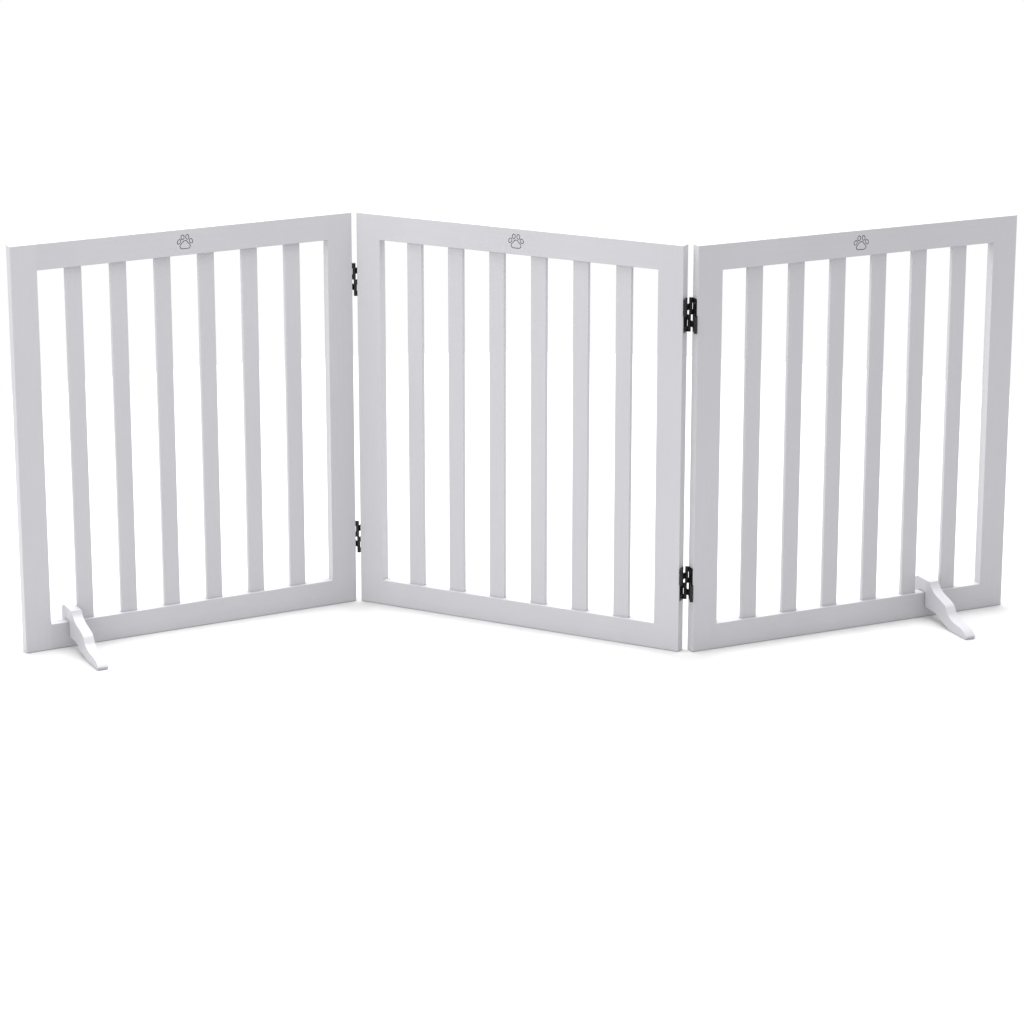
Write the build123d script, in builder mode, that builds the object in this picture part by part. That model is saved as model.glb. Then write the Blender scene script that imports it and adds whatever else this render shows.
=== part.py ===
from build123d import *
import math
import os

# Free-standing folding pet gate: three slatted wooden panels joined by two pairs of
# crossed-link hinges, with two hook-over support feet on the bottom rails.
# Millimetres. The middle panel stands along X, centred on the origin, bottom face at z = 0,
# front face toward -Y. Every panel is drawn in its own frame (centred on x and y, standing
# on z = 0) and is then moved to the standing zigzag pose.

os.makedirs("parts", exist_ok=True)

# ---- panels ----
panel_w = 533.0
panel_h = 610.0
frame_t = 16.0
stile_w = 39.4
rail_h = 38.8
slat_count = 6
slat_w = 24.6
slat_t = 7.0
tenon_l = 11.5
edge_r = 0.9
slat_edge_r = 0.8
glue_gap = 0.1
end_gap = 0.5

# ---- dowels between rails and stiles ----
dowel_r = 4.0
dowel_l = 40.0
dowel_offset = 10.0
dowel_chamfer = 1.0

# ---- hinges ----
hinge_heights = (103.0, 507.0)
half_h = 25.0
knuckle_r = 2.4
pin_r = 1.0
pin_bore_r = 1.05
open_bore_r = 1.6
pin_from_wood = 3.1
pin_inset = 0.2
pin_chamfer = 0.2
link_gap = 5.2
link_h = 9.0
link_t = 1.8
axial_gap = 0.3
middle_gap = 0.2
leaf_t = 1.0
leaf_reach = 5.4
leaf_edge = 7.5
window_w = 4.8
screw_z = (-18.5, 0.0, 18.5)
screw_r = 1.5
screw_hole_r = 1.7
screw_head_r = 2.6
screw_head_h = 1.1
screw_l = 14.5
screw_hole_l = 15.0
screw_tip_l = 3.5
screw_tip_r = 0.3
head_clearance = 0.1
countersink_angle = 90
drive_w = 0.6
drive_l = 3.0
drive_depth = 0.7

# ---- standing pose ----
left_fold = 53.9
right_fold = 50.8

# ---- support feet: side outline as (y, z), y = 0 in the middle of the rail, -y forward ----
foot_t = 16.0
foot_slot_half = 9.6
foot_slot_top = rail_h + 0.3
foot_throat = 15.5
foot_top = 59.0
foot_rear = 22.0
foot_rear_bottom = 20.0
foot_shoulder_r = 9.0
foot_heel = 3.0
foot_edge_r = 0.8
foot_side_gap = 0.6
foot_brow = ((-22.0, foot_top), (-37.0, 45.0), (-57.0, 39.0), (-69.0, 33.0), (-75.0, 25.0))
foot_toe = ((-87.0, 17.5), (-108.0, 14.5), (-121.0, 10.5), (-128.0, 4.5))
foot_sole = ((-126.5, 0.0), (-79.0, 0.0), (-73.0, 2.5), (-43.0, 14.0), (-32.0, foot_throat))

# ---- ornament on the top rails: a paw outline cut as a shallow groove ----
groove_depth = 0.5
groove_w = 1.1
pad_r = 3.6
pad_lobes = ((-4.4, 6.0), (4.4, 6.0), (0.0, 1.2))
toe_long = 3.5
toe_short = 2.4
toes = ((-9.4, -1.2, 24.0), (-3.7, -7.4, 8.0), (3.7, -7.4, -8.0), (9.4, -1.2, -24.0))

# ---- values that follow from the sizes above ----
pin_span = frame_t - 2 * pin_inset
link_l = math.hypot(pin_span, link_gap)
rail_l = panel_w - 2 * stile_w
inner_h = panel_h - 2 * rail_h
slat_l = inner_h + 2 * tenon_l
slat_gap = (rail_l - slat_count * slat_w) / (slat_count + 1)
slat_pitch = slat_w + slat_gap
slat_xs = [(i - (slat_count - 1) / 2) * slat_pitch for i in range(slat_count)]
knuckle_h = (half_h - middle_gap - 2 * axial_gap - link_h) / 2
link_mid = middle_gap + knuckle_h + axial_gap + link_h / 2
pin_h = half_h - middle_gap
rail_mids = (rail_h / 2, panel_h - rail_h / 2)
dowel_zs = [z + s * dowel_offset for z in rail_mids for s in (-1, 1)]
shank_l = screw_l - screw_tip_l
from_base = (Align.CENTER, Align.CENTER, Align.MIN)


def small_link_angle(fold):
    """Angle between a panel's pin line and the link on the side that is closing."""
    swing = pin_span * math.sin(math.radians(fold) / 2)
    near = math.sqrt(swing * swing + link_gap * link_gap) - swing
    cosine = (pin_span**2 + link_l**2 - near**2) / (2 * pin_span * link_l)
    return math.degrees(math.acos(cosine))


def polar(angle, radius):
    """Offset of a point at the given radius, turned counter-clockwise from +Y."""
    a = math.radians(angle)
    return (-radius * math.sin(a), radius * math.cos(a))


def placed(anchor, target, fold):
    """Location that turns a panel by fold and brings its local anchor onto the target."""
    a = math.radians(fold)
    x = target[0] - (anchor[0] * math.cos(a) - anchor[1] * math.sin(a))
    y = target[1] - (anchor[0] * math.sin(a) + anchor[1] * math.cos(a))
    return Location((x, y, 0), (0, 0, fold))


# ---- where the pins and the three panels stand ----
left_small = small_link_angle(left_fold)
left_big = left_fold + left_small
right_small = small_link_angle(right_fold)
right_big = right_fold + right_small

left_p3 = (-panel_w / 2 - pin_from_wood, -pin_span / 2)
left_p4 = (left_p3[0], -left_p3[1])
step = polar(left_big, link_l)
left_p2 = (left_p3[0] + step[0], left_p3[1] + step[1])

right_p1 = (panel_w / 2 + pin_from_wood, -pin_span / 2)
right_p2 = (right_p1[0], -right_p1[1])
step = polar(-right_small, link_l)
right_p4 = (right_p1[0] + step[0], right_p1[1] + step[1])

middle_place = Location((0, 0, 0))
left_place = placed((panel_w / 2 + pin_from_wood, pin_span / 2), left_p2, left_fold)
right_place = placed((-panel_w / 2 - pin_from_wood, pin_span / 2), right_p4, right_fold)


def save(piece, name, place):
    """Move a finished piece to its place in the gate, label it and write its file."""
    moved = piece.moved(place)
    moved.label = name
    export_step(moved, "parts/" + name + ".step")


def face_plane(x, way):
    """Plane on an upright face at x; its z looks along way * X and its x along +Y."""
    return Plane(origin=(x, 0, 0), x_dir=(0, 1, 0), z_dir=(way, 0, 0))


def make_stile(name, place, side, hinged):
    """Upright of the frame; the edges on its inner face stay square, flush with the rails."""
    inner_x = side * (panel_w / 2 - stile_w)
    outer_x = side * panel_w / 2
    with BuildPart() as stile:
        with Locations((side * (panel_w - stile_w) / 2, 0, 0)):
            Box(stile_w, frame_t, panel_h, align=(Align.CENTER, Align.CENTER, Align.MIN))
        inner_face = stile.faces().sort_by(Axis.X)[0 if side > 0 else -1]
        fillet(stile.edges() - inner_face.edges(), edge_r)
        with BuildSketch(face_plane(inner_x, side)):
            with Locations(*[(0, side * z) for z in dowel_zs]):
                Circle(dowel_r + glue_gap / 2)
        extrude(amount=dowel_l / 2 + end_gap, mode=Mode.SUBTRACT)
        if hinged:
            with BuildSketch(face_plane(outer_x, -side)):
                for height in hinge_heights:
                    with Locations(*[(0, -side * (height + z)) for z in screw_z]):
                        Circle(screw_hole_r)
            extrude(amount=screw_hole_l, mode=Mode.SUBTRACT)
    save(stile.part, name, place)


def make_rail(name, place, z_mid, is_top):
    way = -1 if is_top else 1
    with BuildPart() as rail:
        with Locations((0, 0, z_mid)):
            Box(rail_l, frame_t, rail_h)
        fillet(rail.edges().filter_by(Axis.X), edge_r)
        mouth = Plane(origin=(0, 0, z_mid + way * rail_h / 2), x_dir=(1, 0, 0), z_dir=(0, 0, -way))
        with BuildSketch(mouth):
            with Locations(*[(x, 0) for x in slat_xs]):
                Rectangle(slat_w + 2 * glue_gap, slat_t + 2 * glue_gap)
        extrude(amount=tenon_l + end_gap, mode=Mode.SUBTRACT)
        for side in (-1, 1):
            with BuildSketch(face_plane(side * rail_l / 2, -side)):
                with Locations(*[(0, -side * (z_mid + s * dowel_offset)) for s in (-1, 1)]):
                    Circle(dowel_r + glue_gap / 2)
            extrude(amount=dowel_l / 2 + end_gap, mode=Mode.SUBTRACT)
        if is_top:
            # shallow outline of a paw on the front: outer shapes cut out, inner shapes put back
            front = Plane(origin=(0, -frame_t / 2, z_mid), x_dir=(1, 0, 0), z_dir=(0, 1, 0))
            for grow, mode in ((groove_w / 2, Mode.SUBTRACT), (-groove_w / 2, Mode.ADD)):
                with BuildSketch(front):
                    with BuildLine():
                        for lobe in pad_lobes:
                            CenterArc(lobe, pad_r + grow, 0, 360)
                    make_hull()
                    for x, y, turn in toes:
                        with Locations(Location((x, y, 0), (0, 0, turn))):
                            Ellipse(toe_short + grow, toe_long + grow)
                extrude(amount=groove_depth, mode=mode)
    save(rail.part, name, place)


def make_slat(name, place, x):
    with BuildPart() as slat:
        with Locations((x, 0, panel_h / 2)):
            Box(slat_w, slat_t, slat_l)
        fillet(slat.edges().filter_by(Axis.Z), slat_edge_r)
    save(slat.part, name, place)


def make_dowels(name, place):
    with BuildPart() as dowels:
        for side in (-1, 1):
            with Locations(*[Location((side * rail_l / 2, 0, z), (0, 90, 0)) for z in dowel_zs]):
                Cylinder(dowel_r, dowel_l)
        chamfer(dowels.edges(), dowel_chamfer)
    save(dowels.part, name, place)


def leaf_location(side, height):
    """Leaf frame: x leads away from the stile's end face, y from front to back on the +X end."""
    return Location((side * panel_w / 2, 0, height), (0, 0, 0 if side > 0 else 180))


def make_leaf(name, place, side, height):
    with BuildPart() as leaf:
        for half in (-1, 1):
            pin_y = -half * pin_span / 2
            with Locations((leaf_t / 2, -half * (leaf_edge - leaf_reach) / 2, half * half_h / 2)):
                Box(leaf_t, leaf_edge + leaf_reach, half_h)
            # window beside the link's knuckle
            with Locations((leaf_t / 2, pin_y, half * link_mid)):
                Box(leaf_t, window_w, link_h + 2 * axial_gap, mode=Mode.SUBTRACT)
        # each half carries a pair of rolled knuckles, on the front in the upper half
        for half in (-1, 1):
            pin_y = -half * pin_span / 2
            web_y = pin_y + half * (knuckle_r - leaf_t / 2)
            for low in (middle_gap, half_h - knuckle_h):
                z = half * (low + knuckle_h / 2)
                with Locations((pin_from_wood, pin_y, z)):
                    Cylinder(knuckle_r, knuckle_h)
                with Locations((pin_from_wood / 2, web_y, z)):
                    Box(pin_from_wood, leaf_t, knuckle_h)
                with Locations((pin_from_wood, pin_y, z)):
                    Cylinder(pin_r, knuckle_h, mode=Mode.SUBTRACT)
        outward = Plane(origin=(leaf_t, 0, 0), x_dir=(0, 1, 0), z_dir=(1, 0, 0))
        with Locations(*[outward * Location((0, z, 0)) for z in screw_z]):
            CounterSinkHole(screw_hole_r, screw_head_r + head_clearance, leaf_t * 2, countersink_angle)
    save(leaf.part, name, place * leaf_location(side, height))


def make_link(name, pin, turn, height, half):
    """Plate with a knuckle at each end; half is +1 for upper links and -1 for lower ones.

    It turns on the middle panel's pin; the bore at its far end is wide."""
    z = half * link_mid
    with BuildPart() as link:
        with Locations((0, link_l / 2, z)):
            Box(link_t, link_l, link_h)
        with Locations((0, 0, z), (0, link_l, z)):
            Cylinder(knuckle_r, link_h)
        with Locations((0, 0, z)):
            Cylinder(pin_bore_r, link_h, mode=Mode.SUBTRACT)
        with Locations((0, link_l, z)):
            Cylinder(open_bore_r, link_h, mode=Mode.SUBTRACT)
    save(link.part, name, Location((pin[0], pin[1], height), (0, 0, turn)))


def make_pins(name, place, sides):
    with BuildPart() as pins:
        for side in sides:
            for height in hinge_heights:
                for half in (-1, 1):
                    spot = leaf_location(side, height) * Location(
                        (pin_from_wood, -half * pin_span / 2, half * (middle_gap + pin_h / 2))
                    )
                    with Locations(spot):
                        Cylinder(pin_r, pin_h)
        chamfer(pins.edges(), pin_chamfer)
    save(pins.part, name, place)


def make_screws(name, place, sides):
    with BuildPart() as screws:
        for side in sides:
            for height in hinge_heights:
                for z in screw_z:
                    head = leaf_location(side, height) * Location((leaf_t, 0, z), (0, -90, 0))
                    with Locations(head):
                        Cone(screw_head_r, screw_r, screw_head_h, align=from_base)
                        Cylinder(screw_r, shank_l, align=from_base)
                    with Locations(head * Location((0, 0, shank_l))):
                        Cone(screw_r, screw_tip_r, screw_tip_l, align=from_base)
                    with Locations(head):
                        Box(drive_w, drive_l, 2 * drive_depth, mode=Mode.SUBTRACT)
                        Box(drive_l, drive_w, 2 * drive_depth, mode=Mode.SUBTRACT)
    save(screws.part, name, place)


def make_foot(name, place, x):
    """Hook-over foot: side outline in the YZ plane, thickened to both sides."""
    bend = foot_shoulder_r * (1 - math.sqrt(0.5))
    shoulder_low = (foot_rear, foot_top - foot_shoulder_r)
    shoulder_mid = (foot_rear - bend, foot_top - bend)
    shoulder_high = (foot_rear - foot_shoulder_r, foot_top)
    slot = (
        (-foot_slot_half, foot_throat),
        (-foot_slot_half, foot_slot_top),
        (foot_slot_half, foot_slot_top),
        (foot_slot_half, foot_rear_bottom + foot_heel),
    )
    rear = (
        (foot_slot_half + foot_heel, foot_rear_bottom),
        (foot_rear - foot_heel, foot_rear_bottom),
        (foot_rear, foot_rear_bottom + foot_heel),
    )
    with BuildPart() as foot:
        with BuildSketch(Plane.YZ):
            with BuildLine():
                Spline(*foot_brow, *foot_toe)
                Polyline(foot_toe[-1], *foot_sole, *slot, *rear, shoulder_low)
                ThreePointArc(shoulder_low, shoulder_mid, shoulder_high)
                Line(shoulder_high, foot_brow[0])
            make_face()
        extrude(amount=foot_t / 2, both=True)
        fillet(foot.faces().filter_by(Axis.X).edges(), foot_edge_r)
    save(foot.part, name, place * Location((x, 0, 0)))


# ---- the three panels ----
panels = (("left", left_place, (1,)), ("middle", middle_place, (-1, 1)), ("right", right_place, (-1,)))
for panel, place, hinged_sides in panels:
    make_stile(panel + "_stile_l", place, -1, -1 in hinged_sides)
    make_stile(panel + "_stile_r", place, 1, 1 in hinged_sides)
    make_rail(panel + "_rail_bottom", place, rail_mids[0], False)
    make_rail(panel + "_rail_top", place, rail_mids[1], True)
    for index, x in enumerate(slat_xs):
        make_slat(panel + "_slat_" + str(index + 1), place, x)
    make_dowels(panel + "_dowels", place)
    make_pins(panel + "_hinge_pins", place, hinged_sides)
    make_screws(panel + "_hinge_screws", place, hinged_sides)

# ---- hinge leaves and crossed links, lower hinge first ----
for tag, height in zip(("low", "high"), hinge_heights):
    make_leaf("left_leaf_" + tag, left_place, 1, height)
    make_leaf("middle_leaf_l_" + tag, middle_place, -1, height)
    make_leaf("middle_leaf_r_" + tag, middle_place, 1, height)
    make_leaf("right_leaf_" + tag, right_place, -1, height)
    make_link("left_link_lower_" + tag, left_p3, left_big, height, -1)
    make_link("left_link_upper_" + tag, left_p4, 180 - left_small, height, 1)
    make_link("right_link_lower_" + tag, right_p2, 180 + right_big, height, -1)
    make_link("right_link_upper_" + tag, right_p1, -right_small, height, 1)

# ---- support feet: left one beside the end stile, right one between the last two slats ----
make_foot("left_foot", left_place, -rail_l / 2 + slat_gap - foot_t / 2 - foot_side_gap)
make_foot("right_foot", right_place, (slat_xs[-1] + slat_xs[-2]) / 2)
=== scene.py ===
import math

import bmesh
import bpy
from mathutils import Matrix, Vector


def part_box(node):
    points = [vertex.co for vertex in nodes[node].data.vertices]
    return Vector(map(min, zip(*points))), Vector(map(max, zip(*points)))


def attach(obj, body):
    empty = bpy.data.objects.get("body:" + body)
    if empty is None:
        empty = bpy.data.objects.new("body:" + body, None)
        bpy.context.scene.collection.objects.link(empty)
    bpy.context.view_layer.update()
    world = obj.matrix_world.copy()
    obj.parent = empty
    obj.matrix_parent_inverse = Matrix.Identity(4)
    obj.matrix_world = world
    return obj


# Looks for the folding pet gate: satin off-white paint, black steel hinges, zinc screws
# and a dark inlay in the paw outline on each top rail. Metres, in the part's own frame.

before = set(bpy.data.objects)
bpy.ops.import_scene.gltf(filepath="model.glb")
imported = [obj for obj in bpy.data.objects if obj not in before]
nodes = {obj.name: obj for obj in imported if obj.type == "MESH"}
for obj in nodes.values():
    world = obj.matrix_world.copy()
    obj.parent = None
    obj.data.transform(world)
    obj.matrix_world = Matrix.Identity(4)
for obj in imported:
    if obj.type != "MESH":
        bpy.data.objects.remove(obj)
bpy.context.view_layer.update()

# ---- sizes of the part that the looks need; the outlines are in millimetres on the rail's face ----
MM = 0.001
FRAME_T = 16.0 * MM
GROOVE_DEPTH = 0.5 * MM
INLAY_W = 0.98 * MM
INLAY_H = 0.30 * MM
PAD_LOBES = ((-4.4, 6.0), (4.4, 6.0), (0.0, 1.2))
PAD_R = 3.6
TOES = ((-9.4, -1.2, 24.0), (-3.7, -7.4, 8.0), (3.7, -7.4, -8.0), (9.4, -1.2, -24.0))
TOE_SHORT = 2.4
TOE_LONG = 3.5
FOLDS = {"left": 53.9, "middle": 0.0, "right": 50.8}

# ---- colours, linear; the paint is darker than it looks, because the studio light is strong ----
PAINT = (0.458, 0.453, 0.478)
PAINT_SHADE = (0.436, 0.431, 0.456)
STREAK = tuple(0.80 * c for c in PAINT_SHADE)
FLOOR = (0.57, 0.57, 0.57)
FLOOR_SHADE = tuple(0.985 * c for c in FLOOR)

# ---- paint and grain, as noise scales per metre ----
GRAIN_ALONG = 14.0
GRAIN_ACROSS = 420.0
WAVES = (6.0, 6.0, 2.2)
ORANGE_PEEL = 620.0

# ---- stage, lights and camera: metres, watts and degrees ----
FLOOR_RADIUS = 1.7
FLOOR_DROP = 0.0004
WORLD_STRENGTH = 1.0
LIGHTS = (
    {"name": "overhead", "spot": (-0.4, 0.5, 2.5), "target": (-0.1, 0.1, 0), "size": (3.2, 2.8), "power": 160},
    {"name": "key", "spot": (-1.5, -2.6, 1.5), "target": (-0.2, 0, 0.3), "size": (1.4, 1.4), "power": 30},
)
CAMERA_PLACE = (2.0436, -4.1128, 1.5678)
CAMERA_DOWN = 15.459
CAMERA_YAW = 26.54
CAMERA_ANGLE = 18.123
CAMERA_SHIFT_Y = -0.0762
CAMERA_REACH = 100


# ---------------------------------------------------------------- node helpers
class Graph:
    """Short way to build one material's nodes."""

    def __init__(self, name):
        self.material = bpy.data.materials.new(name)
        self.material.use_nodes = True
        self.tree = self.material.node_tree
        self.shader = self.tree.nodes["Principled BSDF"]

    def node(self, kind, values=None, **settings):
        made = self.tree.nodes.new(kind)
        for key, value in settings.items():
            setattr(made, key, value)
        for key, value in (values or {}).items():
            self.put(made.inputs[key], value)
        return made

    def put(self, socket, value):
        if isinstance(value, bpy.types.NodeSocket):
            self.tree.links.new(value, socket)
        else:
            socket.default_value = value

    def place(self, scale, turn=0.0):
        """Object coordinates, turned about Z by turn degrees and then scaled per axis."""
        source = self.node("ShaderNodeTexCoord").outputs["Object"]
        turned = self.node("ShaderNodeMapping", {"Vector": source, "Rotation": (0, 0, math.radians(turn))})
        return self.node("ShaderNodeMapping", {"Vector": turned.outputs[0], "Scale": scale}).outputs[0]

    def noise(self, vector, scale, detail=4.0, roughness=0.55):
        values = {"Vector": vector, "Scale": scale, "Detail": detail, "Roughness": roughness}
        return self.node("ShaderNodeTexNoise", values).outputs["Fac"]

    def spread(self, value, low, high, out_low=0.0, out_high=1.0):
        """Maps low..high onto out_low..out_high, clamped."""
        values = {"Value": value, "From Min": low, "From Max": high, "To Min": out_low, "To Max": out_high}
        return self.node("ShaderNodeMapRange", values).outputs[0]

    def mix(self, factor, first, second):
        made = self.node("ShaderNodeMix", data_type="RGBA")
        self.put(made.inputs[0], factor)
        self.put(made.inputs[6], (*first, 1) if isinstance(first, tuple) else first)
        self.put(made.inputs[7], (*second, 1) if isinstance(second, tuple) else second)
        return made.outputs[2]

    def bump(self, height, strength, distance, below=None):
        values = {"Height": height, "Strength": strength, "Distance": distance}
        if below is not None:
            values["Normal"] = below
        return self.node("ShaderNodeBump", values).outputs["Normal"]

    def finish(self, **values):
        for key, value in values.items():
            self.put(self.shader.inputs[key.replace("_", " ")], value)
        return self.material


def painted_wood(name, grain, turn=0.0):
    """Sprayed satin paint over planed wood; grain is the axis the wood grain runs along."""
    g = Graph(name)
    if grain == "X":
        scale = (GRAIN_ALONG, GRAIN_ACROSS, GRAIN_ACROSS)
    else:
        scale = (GRAIN_ACROSS, GRAIN_ACROSS, GRAIN_ALONG)
    fibres = g.noise(g.place(scale, turn), 1.0, 5.0, 0.6)
    waves = g.noise(g.place(WAVES, turn), 1.0, 3.0)
    orange_peel = g.noise(g.place((1.0, 1.0, 1.0)), ORANGE_PEEL, 2.0)
    tone = g.spread(waves, 0.3, 0.7)
    colour = g.mix(tone, PAINT_SHADE, PAINT)
    streak = g.spread(fibres, 0.3, 0.62, 0.0, 0.10)
    colour = g.mix(streak, colour, STREAK)
    normal = g.bump(orange_peel, 0.10, 0.0003)
    normal = g.bump(fibres, 0.22, 0.0004, normal)
    rough = g.spread(waves, 0.25, 0.75, 0.36, 0.46)
    return g.finish(Base_Color=colour, Roughness=rough, Normal=normal, Specular_IOR_Level=0.42,
                    Coat_Weight=0.12, Coat_Roughness=0.28)


def black_steel():
    g = Graph("black_steel")
    speck = g.noise(g.place((1.0, 1.0, 1.0)), 900.0, 3.0)
    cloud = g.noise(g.place((1.0, 1.0, 1.0)), 160.0, 4.0)
    colour = g.mix(g.spread(cloud, 0.35, 0.7), (0.008, 0.008, 0.009), (0.022, 0.022, 0.024))
    rough = g.spread(cloud, 0.3, 0.7, 0.24, 0.42)
    return g.finish(Base_Color=colour, Roughness=rough, Metallic=0.35, Normal=g.bump(speck, 0.3, 0.0003),
                    Specular_IOR_Level=0.3, Coat_Weight=0.06, Coat_Roughness=0.2)


def bright_steel(name, light, dark, rough_low, rough_high):
    g = Graph(name)
    brushed = g.noise(g.place((300.0, 300.0, 2600.0)), 1.0, 4.0)
    colour = g.mix(g.spread(brushed, 0.3, 0.7), dark, light)
    rough = g.spread(brushed, 0.3, 0.7, rough_low, rough_high)
    return g.finish(Base_Color=colour, Roughness=rough, Metallic=1.0, Normal=g.bump(brushed, 0.1, 0.0001))


def bare_wood():
    g = Graph("bare_wood")
    fibres = g.noise(g.place((60.0, 500.0, 500.0)), 1.0, 6.0, 0.65)
    colour = g.mix(g.spread(fibres, 0.3, 0.7), (0.44, 0.27, 0.13), (0.62, 0.43, 0.24))
    return g.finish(Base_Color=colour, Roughness=g.spread(fibres, 0.3, 0.7, 0.5, 0.7),
                    Normal=g.bump(fibres, 0.3, 0.0003))


def dark_inlay():
    g = Graph("dark_inlay")
    grain = g.noise(g.place((1.0, 1.0, 1.0)), 1500.0, 3.0)
    colour = g.mix(g.spread(grain, 0.3, 0.7), (0.012, 0.011, 0.011), (0.036, 0.034, 0.033))
    return g.finish(Base_Color=colour, Roughness=g.spread(grain, 0.3, 0.7, 0.55, 0.75),
                    Normal=g.bump(grain, 0.2, 0.0001))


# ---------------------------------------------------------------- paw inlay
def toe_outline(x, y, turn, steps=40):
    """Closed ellipse, long axis turned by turn degrees; millimetres on the rail's face."""
    a = math.radians(turn)
    points = []
    for i in range(steps):
        t = 2 * math.pi * i / steps
        u, v = TOE_SHORT * math.cos(t), TOE_LONG * math.sin(t)
        points.append((x + u * math.cos(a) - v * math.sin(a), y + u * math.sin(a) + v * math.cos(a)))
    return points


def pad_outline(steps=24):
    """Closed hull of three equal circles: one arc about each lobe, joined by straight lines."""
    lobes = (PAD_LOBES[0], PAD_LOBES[2], PAD_LOBES[1])
    points = []
    for i, (x, y) in enumerate(lobes):
        before, after = lobes[i - 1], lobes[(i + 1) % 3]
        start = math.atan2(before[0] - x, y - before[1])
        end = math.atan2(x - after[0], after[1] - y)
        sweep = (end - start) % (2 * math.pi)
        for k in range(steps + 1):
            t = start + sweep * k / steps
            points.append((x + PAD_R * math.cos(t), y + PAD_R * math.sin(t)))
    return points


def band(mesh, outline, low, high):
    """Square-edged band, INLAY_W wide, along a closed outline; low and high are its two y values."""
    count = len(outline)
    rings = []
    for i, (x, y) in enumerate(outline):
        ahead, behind = outline[(i + 1) % count], outline[i - 1]
        way = Vector((ahead[0] - behind[0], ahead[1] - behind[1]))
        way.normalize()
        side = Vector((-way.y, way.x)) * INLAY_W / 2
        centre = Vector((x * MM, y * MM))
        corners = ((centre - side, low), (centre - side, high), (centre + side, high), (centre + side, low))
        rings.append([mesh.verts.new((p.x, depth, -p.y)) for p, depth in corners])
    for i in range(count):
        one, two = rings[i], rings[(i + 1) % count]
        for k in range(4):
            mesh.faces.new((one[k], one[(k + 1) % 4], two[(k + 1) % 4], two[k]))


def make_inlay(panel, material):
    """Dark fill lying in the groove of one top rail, placed from the rail's own box."""
    low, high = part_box(panel + "_rail_top")
    centre = (Vector(low) + Vector(high)) / 2
    floor_y = -FRAME_T / 2 + GROOVE_DEPTH
    mesh = bmesh.new()
    for toe in TOES:
        band(mesh, toe_outline(*toe), floor_y, floor_y - INLAY_H)
    band(mesh, pad_outline(), floor_y, floor_y - INLAY_H)
    bmesh.ops.recalc_face_normals(mesh, faces=mesh.faces)
    data = bpy.data.meshes.new(panel + "_paw_inlay")
    mesh.to_mesh(data)
    mesh.free()
    inlay = bpy.data.objects.new(panel + "_paw_inlay", data)
    bpy.context.collection.objects.link(inlay)
    inlay.location = centre
    inlay.rotation_euler = (0, 0, math.radians(FOLDS[panel]))
    data.materials.append(material)
    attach(inlay, panel + "_panel")


# ---------------------------------------------------------------- put materials on the CAD nodes
def use(node_name, material):
    """Shows a CAD node with one material."""
    slots = nodes[node_name].data.materials
    slots.clear()
    slots.append(material)


upright = painted_wood("painted_upright", "Z")
steel = black_steel()
zinc = bright_steel("screw_steel", (0.62, 0.62, 0.64), (0.42, 0.42, 0.44), 0.18, 0.34)
oxide = bright_steel("pin_steel", (0.09, 0.09, 0.10), (0.045, 0.045, 0.05), 0.25, 0.45)
beech = bare_wood()
ink = dark_inlay()
rails = {panel: painted_wood("painted_rail_" + panel, "X", -fold) for panel, fold in FOLDS.items()}

for name in nodes:
    panel = name.split("_")[0]
    if "rail" in name or "foot" in name:
        use(name, rails[panel])
    elif "stile" in name or "slat" in name:
        use(name, upright)
    elif "leaf" in name or "link" in name:
        use(name, steel)
    elif "screws" in name:
        use(name, zinc)
    elif "pins" in name:
        use(name, oxide)
    else:
        use(name, beech)

for panel in FOLDS:
    make_inlay(panel, ink)


# ---------------------------------------------------------------- stage, light and camera
def make_floor():
    g = Graph("floor")
    soft = g.noise(g.place((1.0, 1.0, 1.0)), 3.0, 2.0)
    colour = g.mix(g.spread(soft, 0.3, 0.7), FLOOR_SHADE, FLOOR)
    material = g.finish(Base_Color=colour, Roughness=0.9, Specular_IOR_Level=0.1)
    spot = (0, 0, -FLOOR_DROP)
    bpy.ops.mesh.primitive_circle_add(vertices=96, radius=FLOOR_RADIUS, fill_type="NGON", location=spot)
    floor = bpy.context.object
    floor.name = "floor"
    floor.data.materials.append(material)


def area_light(name, spot, target, size, power):
    data = bpy.data.lights.new(name, "AREA")
    data.shape = "RECTANGLE"
    data.size, data.size_y = size
    data.energy = power
    lamp = bpy.data.objects.new(name, data)
    bpy.context.collection.objects.link(lamp)
    lamp.location = spot
    lamp.rotation_euler = (Vector(target) - Vector(spot)).to_track_quat("-Z", "Y").to_euler()


def make_light():
    world = bpy.data.worlds.new("studio")
    bpy.context.scene.world = world
    world.use_nodes = True
    background = world.node_tree.nodes["Background"]
    background.inputs["Color"].default_value = (1, 1, 1, 1)
    background.inputs["Strength"].default_value = WORLD_STRENGTH
    for light in LIGHTS:
        area_light(**light)


def make_camera():
    data = bpy.data.cameras.new("camera")
    data.angle = math.radians(CAMERA_ANGLE)
    data.shift_y = CAMERA_SHIFT_Y
    data.clip_end = CAMERA_REACH
    camera = bpy.data.objects.new("camera", data)
    bpy.context.collection.objects.link(camera)
    camera.location = CAMERA_PLACE
    camera.rotation_euler = (math.radians(90 - CAMERA_DOWN), 0, math.radians(CAMERA_YAW))
    bpy.context.scene.camera = camera


make_floor()
make_light()
make_camera()
bpy.context.scene.view_settings.view_transform = "Standard"
